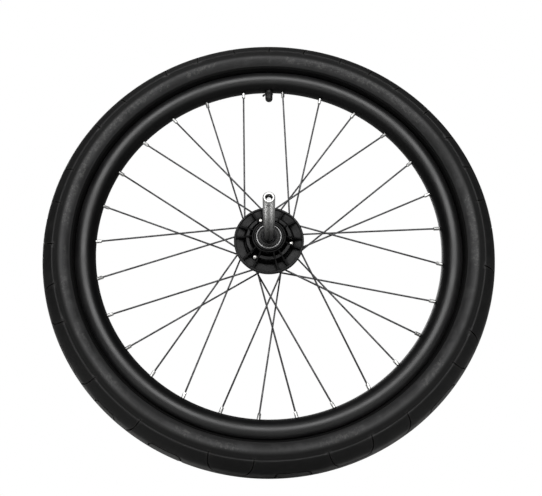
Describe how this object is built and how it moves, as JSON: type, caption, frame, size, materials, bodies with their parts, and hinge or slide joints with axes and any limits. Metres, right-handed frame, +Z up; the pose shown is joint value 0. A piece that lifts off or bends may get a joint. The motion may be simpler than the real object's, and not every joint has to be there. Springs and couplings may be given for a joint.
{
  "type": "quick-release spoked wheel",
  "caption": "Spoked pneumatic trailer wheel with a ribbed plastic hub on sealed bearings and a push-button quick-release stub axle.",
  "frame": {"origin": "wheel's centre: on the axle's axis, in the mid-plane of the rim and tyre", "axes": "+Y is the spin axis and points away from the stub axle, -Y points to the stub axle's tip, +Z is up through the valve, +X completes the right-handed frame"},
  "size_m": [0.5, 0.1863, 0.5],
  "materials": {
    "tyre_rubber": "dusty black rubber",
    "tube_rubber": "dull",
    "rim_tape": "dull",
    "rim_paint": "satin black",
    "valve_rubber": "dull",
    "valve_plastic": "matte",
    "spoke_steel": "dark satin",
    "hub_plastic": "fine moulded texture",
    "zinc": "bright zinc plating",
    "race_steel": "ground steel",
    "seal_rubber": "matte",
    "spacer_alloy": "turned",
    "axle_steel": "plated, fine lengthwise brushing",
    "clip_steel": "blackened",
    "spring_steel": "drawn wire",
    "button_plastic": "matte"
  },
  "bodies": {
    "axle": {"axle_tube": "axle_steel", "axle_clip": "clip_steel", "bearing_spacer": "spacer_alloy", "bearing_front_inner_race": "race_steel", "bearing_rear_inner_race": "race_steel", "release_spring": "spring_steel"},
    "wheel": {"tyre": "tyre_rubber", "inner_tube": "tube_rubber", "rim_tape": "rim_tape", "rim": "rim_paint", "valve_stem": "valve_rubber", "valve_cap": "valve_plastic", "hub_core": "hub_plastic", "hub_cover_front": "hub_plastic", "hub_cover_rear": "hub_plastic", "cover_screw_a": "zinc", "cover_screw_b": "zinc", "cover_screw_c": "zinc", "bearing_front_outer_race": "race_steel", "bearing_front_seal": "seal_rubber", "bearing_rear_outer_race": "race_steel", "bearing_rear_seal": "seal_rubber", "spoke_01": "spoke_steel", "spoke_02": "spoke_steel", "spoke_03": "spoke_steel", "spoke_04": "spoke_steel", "spoke_05": "spoke_steel", "spoke_06": "spoke_steel", "spoke_07": "spoke_steel", "spoke_08": "spoke_steel", "spoke_09": "spoke_steel", "spoke_10": "spoke_steel", "spoke_11": "spoke_steel", "spoke_12": "spoke_steel", "spoke_13": "spoke_steel", "spoke_14": "spoke_steel", "spoke_15": "spoke_steel", "spoke_16": "spoke_steel", "spoke_17": "spoke_steel", "spoke_18": "spoke_steel", "spoke_19": "spoke_steel", "spoke_20": "spoke_steel", "spoke_21": "spoke_steel", "spoke_22": "spoke_steel", "spoke_23": "spoke_steel", "spoke_24": "spoke_steel", "spoke_25": "spoke_steel", "spoke_26": "spoke_steel", "spoke_27": "spoke_steel", "spoke_28": "spoke_steel"},
    "front_ball_ring": {"bearing_front_balls": "race_steel"},
    "rear_ball_ring": {"bearing_rear_balls": "race_steel"},
    "release": {"release_button": "button_plastic", "release_rod": "axle_steel"},
    "lock_ball_lower": {"lock_ball_lower": "race_steel"},
    "lock_ball_upper": {"lock_ball_upper": "race_steel"}
  },
  "joints": [
    {"name": "wheel_spin", "type": "hinge", "parent": "axle", "child": "wheel", "pos_m": [0, 0, 0], "axis": [0, 1, 0], "continuous": true},
    {"name": "front_ball_ring_spin", "type": "hinge", "parent": "axle", "child": "front_ball_ring", "pos_m": [0, -0.0205, 0], "axis": [0, 1, 0], "continuous": true},
    {"name": "rear_ball_ring_spin", "type": "hinge", "parent": "axle", "child": "rear_ball_ring", "pos_m": [0, 0.0315, 0], "axis": [0, 1, 0], "continuous": true},
    {"name": "release_press", "type": "slide", "parent": "axle", "child": "release", "axis": [0, -1, 0], "range_m": [0, 0.0045], "stiffness_N_per_m": 1200, "springref_m": -0.004, "deforming": ["release_spring"]},
    {"name": "lock_ball_lower_slide", "type": "slide", "parent": "axle", "child": "lock_ball_lower", "axis": [0, 0, 1], "range_m": [0, 0.00125]},
    {"name": "lock_ball_upper_slide", "type": "slide", "parent": "axle", "child": "lock_ball_upper", "axis": [0, 0, -1], "range_m": [0, 0.00125]}
  ],
  "couplings": [
    {"joint": "front_ball_ring_spin", "follows": "wheel_spin", "ratio": 0.61},
    {"joint": "rear_ball_ring_spin", "follows": "wheel_spin", "ratio": 0.61},
    {"joint": "lock_ball_lower_slide", "follows": "release_press", "ratio": 0.26667},
    {"joint": "lock_ball_upper_slide", "follows": "release_press", "ratio": 0.26667}
  ]
}
